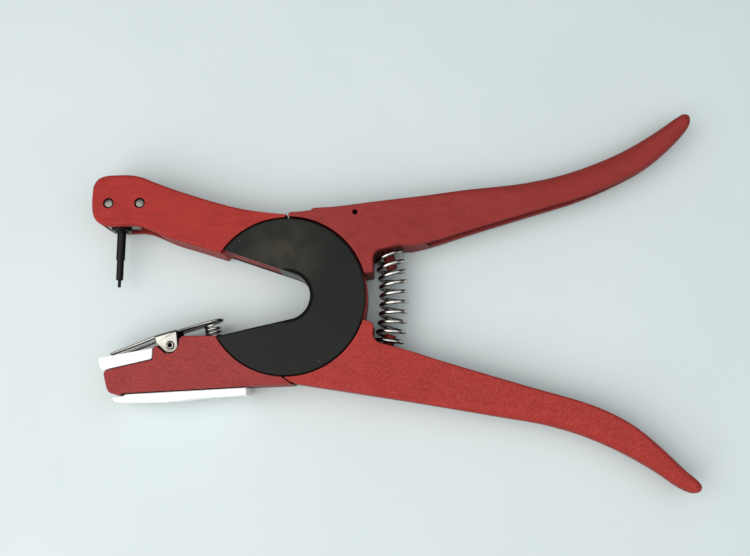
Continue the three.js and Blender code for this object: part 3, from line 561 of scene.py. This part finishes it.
class Look:
    """A node material under construction; textures follow the object's own coordinates."""

    def __init__(self, name):
        self.material = bpy.data.materials.new(name)
        self.material.use_nodes = True
        self.tree = self.material.node_tree
        self.shader = self.tree.nodes["Principled BSDF"]
        self.places = self.add("ShaderNodeTexCoord").outputs["Object"]

    def add(self, kind, **settings):
        node = self.tree.nodes.new(kind)
        for key, value in settings.items():
            setattr(node, key, value)
        return node

    def join(self, value, socket):
        if isinstance(value, bpy.types.NodeSocket):
            self.tree.links.new(value, socket)
        else:
            socket.default_value = value

    def noise(self, size, detail=2.0, rough=0.5, stretch=None):
        """Smooth noise whose blobs are about `size` across, in metres."""
        node = self.add("ShaderNodeTexNoise")
        node.inputs["Scale"].default_value = 1 / size
        node.inputs["Detail"].default_value = detail
        node.inputs["Roughness"].default_value = rough
        self.join(self.stretched(stretch), node.inputs["Vector"])
        return node.outputs["Fac"]

    def stretched(self, stretch):
        if stretch is None:
            return self.places
        angle, scale = stretch
        node = self.add("ShaderNodeMapping")
        node.inputs["Rotation"].default_value = (0, 0, angle)
        node.inputs["Scale"].default_value = scale
        self.join(self.places, node.inputs["Vector"])
        return node.outputs["Vector"]

    def cells(self, size):
        """Random cells about `size` across: how far from each cell's middle, and a random number for each."""
        node = self.add("ShaderNodeTexVoronoi")
        node.inputs["Scale"].default_value = 1 / size
        self.join(self.places, node.inputs["Vector"])
        split = self.add("ShaderNodeSeparateColor")
        self.join(node.outputs["Color"], split.inputs["Color"])
        return node.outputs["Distance"], split.outputs["Red"]

    def band(self, value, low, high, to_low=0.0, to_high=1.0):
        """A soft step from `to_low` where the value is `low` to `to_high` where it is `high`."""
        node = self.add("ShaderNodeMapRange", interpolation_type="SMOOTHSTEP")
        for key, number in zip(("From Min", "From Max", "To Min", "To Max"), (low, high, to_low, to_high)):
            node.inputs[key].default_value = number
        self.join(value, node.inputs["Value"])
        return node.outputs["Result"]

    def math(self, operation, *values):
        node = self.add("ShaderNodeMath", operation=operation)
        for value, socket in zip(values, node.inputs):
            self.join(value, socket)
        return node.outputs["Value"]

    def mix(self, share, first, second):
        node = self.add("ShaderNodeMix", data_type="RGBA")
        self.join(share, node.inputs["Factor"])
        self.join(rgba(first), node.inputs["A"])
        self.join(rgba(second), node.inputs["B"])
        return node.outputs["Result"]

    def along_x(self, low, high):
        """0 below `low`, 1 above `high`, measured along the tool's length."""
        node = self.add("ShaderNodeSeparateXYZ")
        self.join(self.places, node.inputs["Vector"])
        return self.band(node.outputs["X"], low, high)

    def near(self, place, reach, full=0.0):
        """1 within `full` of a place, fading to 0 at `reach` from it."""
        node = self.add("ShaderNodeVectorMath", operation="DISTANCE")
        self.join(self.places, node.inputs[0])
        node.inputs[1].default_value = place
        return self.band(node.outputs["Value"], reach, full)

    def crevices(self, reach, start=0.65, full=0.2):
        """Near 1 in narrow gaps and inside corners, 0 in the open: an ambient occlusion mask that the
        materials use for painted shade.
        """
        node = self.add("ShaderNodeAmbientOcclusion", samples=6)
        node.inputs["Distance"].default_value = reach
        return self.band(node.outputs["AO"], start, full)

    def between(self, share, first, second):
        """The first number where the share is 0, the second where it is 1."""
        return self.math("MULTIPLY_ADD", share, second - first, first)

    def edges(self, reach):
        """Near 1 within `reach` of an outside edge, 0 elsewhere."""
        node = self.add("ShaderNodeAmbientOcclusion", inside=True, only_local=True, samples=6)
        node.inputs["Distance"].default_value = reach
        return self.band(node.outputs["AO"], 0.88, 0.45)

    def bump(self, height, depth):
        node = self.add("ShaderNodeBump")
        node.inputs["Distance"].default_value = depth
        self.join(height, node.inputs["Height"])
        self.join(node.outputs["Normal"], self.shader.inputs["Normal"])

    def finish(self, colour, roughness, **others):
        self.join(rgba(colour), self.shader.inputs["Base Color"])
        self.join(roughness, self.shader.inputs["Roughness"])
        for key, value in others.items():
            self.join(value, self.shader.inputs[key.replace("_", " ")])
        return self.material


def rgba(colour):
    return (*colour, 1) if isinstance(colour, tuple) and len(colour) == 3 else colour


def lighter(colour, by):
    return tuple(channel + (1 - channel) * by for channel in colour)


def darker(colour, by):
    return tuple(channel * (1 - by) for channel in colour)


def red_coat(name, jaw, handle, jaw_grain, handle_grain):
    """Powder coat: grain with warm flakes, broad mottling, rubbed edges, and painted shade on the sides and
    in the crevices.
    """
    look = Look(name)
    at_handle = look.along_x(PIVOT.x - 8 * MM, PIVOT.x + 8 * MM)
    grain = look.noise(0.5 * MM, detail=3, rough=0.6)
    cloud = look.noise(11 * MM, detail=4)
    streaks = look.noise(2.4 * MM, detail=3, stretch=(0.3, (0.35, 1, 1)))
    flake_distance, flake_chance = look.cells(0.55 * MM)
    flake = look.math("MULTIPLY", look.band(flake_chance, 0.4, 1.0), look.band(flake_distance, 0.6, 0.1))
    base = look.mix(at_handle, jaw, handle)
    tone = look.mix(look.band(cloud, 0.32, 0.68, 0.1, 0), base, darker(jaw, 0.8))
    tone = look.mix(look.band(streaks, 0.45, 0.75, 0, 0.16), tone, darker(jaw, 0.85))
    strength = look.between(at_handle, jaw_grain, handle_grain)
    pits = look.math("MULTIPLY", look.band(grain, 0.6, 0.38), strength)
    tone = look.mix(pits, tone, darker(jaw, 0.75))
    tone = look.mix(look.math("MULTIPLY", flake, strength), tone, (0.52, 0.11, 0.085))
    rubbed = look.math("MULTIPLY", look.edges(0.9 * MM), look.band(look.noise(2.5 * MM, detail=4), 0.35, 0.7))
    tone = look.mix(look.math("MULTIPLY", rubbed, 0.3), tone, lighter(jaw, 0.12))
    # Painted shade: darker where the open is hidden within 30 mm, such as the sides, and darker still in
    # narrow gaps and inside corners.
    tone = look.mix(look.math("MULTIPLY", look.crevices(30 * MM, 0.92, 0.4), 0.45), tone, darker(jaw, 0.8))
    tone = look.mix(look.math("MULTIPLY", look.crevices(5 * MM), 0.8), tone, darker(jaw, 0.93))
    roughness = look.band(look.math("ADD", grain, look.math("MULTIPLY", cloud, 0.5)), 0.4, 1.1, 0.42, 0.6)
    height = look.math("ADD", grain, look.math("MULTIPLY", look.noise(1.6 * MM, detail=2), 0.5))
    look.bump(height, 0.05 * MM)
    return look.finish(tone, roughness, Specular_IOR_Level=0.1)


def black_plate(name):
    """Satin black coating with a brownish bloom, fine scratches, a few bright specks, glossy rims, and
    painted shade on the rims and round the throat's end.
    """
    look = Look(name)
    bloom_reach = look.near(PIVOT + PLATE_BLOOM, 24 * MM)
    bloom = look.math("MULTIPLY", bloom_reach, look.band(look.noise(9 * MM), 0.2, 0.6))
    fine = look.noise(0.5 * MM, detail=3)
    cloud = look.noise(7 * MM, detail=3)
    scratch = look.noise(0.35 * MM, detail=2, stretch=(0.6, (1, 0.05, 1)))
    tone = look.mix(look.band(cloud, 0.35, 0.7), (0.0045, 0.0055, 0.0045), (0.0070, 0.0075, 0.0060))
    tone = look.mix(look.math("MULTIPLY", bloom, 0.8), tone, (0.034, 0.030, 0.020))
    tone = look.mix(look.band(scratch, 0.68, 0.8, 0, 0.2), tone, (0.06, 0.06, 0.055))
    speck_distance, speck_chance = look.cells(1.6 * MM)
    speck = look.math("MULTIPLY", look.band(speck_chance, 0.985, 0.995), look.band(speck_distance, 0.2, 0.06))
    tone = look.mix(look.math("MULTIPLY", speck, 0.7), tone, (0.25, 0.24, 0.2))
    throat_centre = Vector((PIVOT.x, PIVOT.y, HIGH.z))
    throat_reach = THROAT_RADIUS + THROAT_SHADE
    throat_shade = look.near(throat_centre, throat_reach, throat_reach - THROAT_SHADE_BLUR)
    # Painted shade: the plate is darkened along its rims and in a border round the throat's end; the rims are
    # glossier too.
    rim = look.math("MAXIMUM", look.edges(0.7 * MM), throat_shade)
    tone = look.mix(rim, tone, (0.004, 0.004, 0.004))
    worn = look.math("MULTIPLY", look.edges(0.25 * MM), look.band(look.noise(3 * MM, detail=3), 0.5, 0.7))
    tone = look.mix(look.math("MULTIPLY", worn, 0.3), tone, (0.1, 0.098, 0.09))
    satin = look.band(look.math("ADD", fine, cloud), 0.7, 1.3, 0.4, 0.54)
    look.bump(look.math("ADD", fine, look.math("MULTIPLY", scratch, 0.4)), 0.012 * MM)
    sheen = look.band(rim, 0, 1, 0.15, 0.03)
    roughness = look.math("SUBTRACT", satin, look.math("MULTIPLY", rim, 0.2))
    return look.finish(tone, roughness, Specular_IOR_Level=sheen)


def dark_ring(name):
    """Dark grey turned ring with faint circular tool marks and polished lips."""
    look = Look(name)
    marks = look.noise(0.4 * MM, detail=2, stretch=(0, (0.05, 0.05, 1)))
    smear = look.noise(5 * MM, detail=3)
    tone = look.mix(look.band(smear, 0.35, 0.7), (0.012, 0.0125, 0.012), (0.042, 0.043, 0.041))
    tone = look.mix(look.math("MULTIPLY", look.edges(0.4 * MM), 0.35), tone, (0.2, 0.2, 0.19))
    look.bump(marks, 0.02 * MM)
    return look.finish(tone, look.band(marks, 0.3, 0.7, 0.3, 0.45), Metallic=0.1, Specular_IOR_Level=0.25)


def black_oxide(name):
    """Blackened steel: glossy where handled, with bare edges."""
    look = Look(name)
    marks = look.noise(0.3 * MM, detail=2, stretch=(0, (0.2, 1, 0.2)))
    smear = look.noise(3 * MM, detail=3)
    tone = look.mix(look.band(smear, 0.4, 0.7), (0.002, 0.002, 0.0025), (0.006, 0.0055, 0.0065))
    tone = look.mix(look.math("MULTIPLY", look.edges(0.25 * MM), 0.12), tone, (0.1, 0.1, 0.1))
    look.bump(marks, 0.006 * MM)
    roughness = look.band(look.math("ADD", marks, smear), 0.7, 1.3, 0.14, 0.26)
    return look.finish(tone, roughness, Specular_IOR_Level=0.13)


def nickel_plate(name, worn, bright=1.0):
    """Bright warm nickel with rubbed haze, fine marks, darker smudges, and painted shade on its sides and in
    corners.
    """
    look = Look(name)
    haze = look.noise(4 * MM, detail=3)
    marks = look.noise(0.3 * MM, detail=2, stretch=(0.25, (0.12, 1, 1)))
    light = darker((0.78, 0.76, 0.7), 1 - bright)
    dull = darker((0.66, 0.64, 0.58), 1 - bright)
    tone = look.mix(look.band(haze, 0.35, 0.7), light, dull)
    smudge = look.band(look.noise(2.5 * MM, detail=3), 0.6, 0.8, 0, 0.3 * worn)
    tone = look.mix(smudge, tone, (0.3, 0.265, 0.22))
    # Painted shade: darker on the sides and underneath, where the open is hidden within 25 mm, and in
    # corners.
    painted_shade = look.math("MULTIPLY", look.crevices(25 * MM, 0.85, 0.35), 0.9)
    tone = look.mix(painted_shade, tone, (0.03, 0.024, 0.018))
    roughness = look.band(look.math("ADD", haze, marks), 0.7, 1.35, 0.13, 0.26)
    look.bump(marks, 0.0015 * MM)
    return look.finish(tone, roughness, Metallic=1.0)


def machined_steel(name):
    """Plain milled steel with parallel cutter marks and oily patches."""
    look = Look(name)
    marks = look.noise(0.22 * MM, detail=2, stretch=(0, (1, 0.06, 1)))
    oil = look.noise(3 * MM, detail=3)
    tone = look.mix(look.band(oil, 0.4, 0.7), (0.50, 0.49, 0.46), (0.30, 0.28, 0.25))
    look.bump(marks, 0.02 * MM)
    return look.finish(tone, look.band(marks, 0.3, 0.7, 0.28, 0.45), Metallic=1.0)


def white_plastic(name):
    """Matt white moulding with a faint moulded grain and slightly grubby edges."""
    look = Look(name)
    grain = look.noise(0.4 * MM, detail=2)
    cloud = look.noise(6 * MM, detail=3)
    tone = look.mix(look.band(cloud, 0.35, 0.7), (0.93, 0.935, 0.93), (0.87, 0.875, 0.865))
    grubby = look.math("MULTIPLY", look.edges(0.5 * MM), look.band(look.noise(1.5 * MM, detail=4), 0.5, 0.75))
    tone = look.mix(look.math("MULTIPLY", grubby, 0.3), tone, (0.66, 0.64, 0.6))
    look.bump(grain, 0.02 * MM)
    roughness = look.band(grain, 0.3, 0.7, 0.42, 0.58)
    return look.finish(tone, roughness, Subsurface_Weight=0.12, Subsurface_Scale=1 * MM)


def floor_paper(name):
    """Pale cool board with the faintest cloudiness."""
    look = Look(name)
    cloud = look.noise(60 * MM, detail=3)
    tone = look.mix(look.band(cloud, 0.3, 0.7), (0.535, 0.592, 0.590), (0.550, 0.607, 0.604))
    look.bump(look.noise(1.2 * MM, detail=2), 0.01 * MM)
    return look.finish(tone, look.band(cloud, 0.3, 0.7, 0.62, 0.7), Specular_IOR_Level=0.25)


# ---------------------------------------------------------------- stage
FLOOR_HALF = 2.5
FLOOR_DROP = 0.05 * MM  # below the frame's z = 0
ROOM_LEAN = (-0.12, -0.3, 1)  # the room's brightest direction
ROOM_TONES = ((0.0, (0.05, 0.053, 0.055, 1)), (0.6, (0.93, 0.97, 1.0, 1)))  # at the horizon and overhead
ROOM_STRENGTH = 0.6


def add_floor():
    work = bmesh.new()
    bmesh.ops.create_grid(work, x_segments=2, y_segments=2, size=FLOOR_HALF)
    mesh = bpy.data.meshes.new("floor")
    work.to_mesh(mesh)
    work.free()
    floor = new_object("floor", mesh)
    floor.location.z = -FLOOR_DROP
    mesh.materials.append(floor_paper("floor_board"))


def add_area(name, place, size, power, colour):
    """A soft rectangular light that shines on the middle of the tool."""
    data = bpy.data.lights.new(name, "AREA")
    data.shape = "RECTANGLE"
    data.size, data.size_y = size
    data.energy = power
    data.color = colour
    light = bpy.data.objects.new(name, data)
    bpy.context.scene.collection.objects.link(light)
    light.location = place
    light.rotation_euler = (-Vector(place)).to_track_quat("-Z", "Y").to_euler()


def add_room():
    """A pale room that is bright overhead, dark at the horizon, and lighter in front (-Y) than behind."""
    world = bpy.data.worlds.new("room")
    world.use_nodes = True
    tree = world.node_tree
    direction = tree.nodes.new("ShaderNodeTexCoord").outputs["Generated"]
    lean = tree.nodes.new("ShaderNodeVectorMath")
    lean.operation = "DOT_PRODUCT"
    lean.inputs[1].default_value = ROOM_LEAN
    tree.links.new(direction, lean.inputs[0])
    ramp = tree.nodes.new("ShaderNodeValToRGB")
    for element, (position, colour) in zip(ramp.color_ramp.elements, ROOM_TONES):
        element.position = position
        element.color = colour
    tree.links.new(lean.outputs["Value"], ramp.inputs["Fac"])
    background = tree.nodes["Background"]
    tree.links.new(ramp.outputs["Color"], background.inputs["Color"])
    background.inputs["Strength"].default_value = ROOM_STRENGTH
    bpy.context.scene.world = world


def add_lights():
    add_area("key", (-0.40, -0.22, 0.70), (1.0, 0.9), 7.3, (1.0, 0.985, 0.96))
    add_area("fill", (0.35, 0.0, 0.8), (0.9, 0.9), 2.2, (0.95, 0.98, 1.0))


# ---------------------------------------------------------------- the scene
add_camera()
bpy.context.scene.view_settings.view_transform = "Standard"
add_floor()
add_lights()
add_room()
build_arms()
build_plates()
build_fasteners()
build_cross_pins()
build_applicator_pin()
build_collar()
build_plastic()
build_clip()
build_rivet()
build_main_spring()
build_clip_spring()
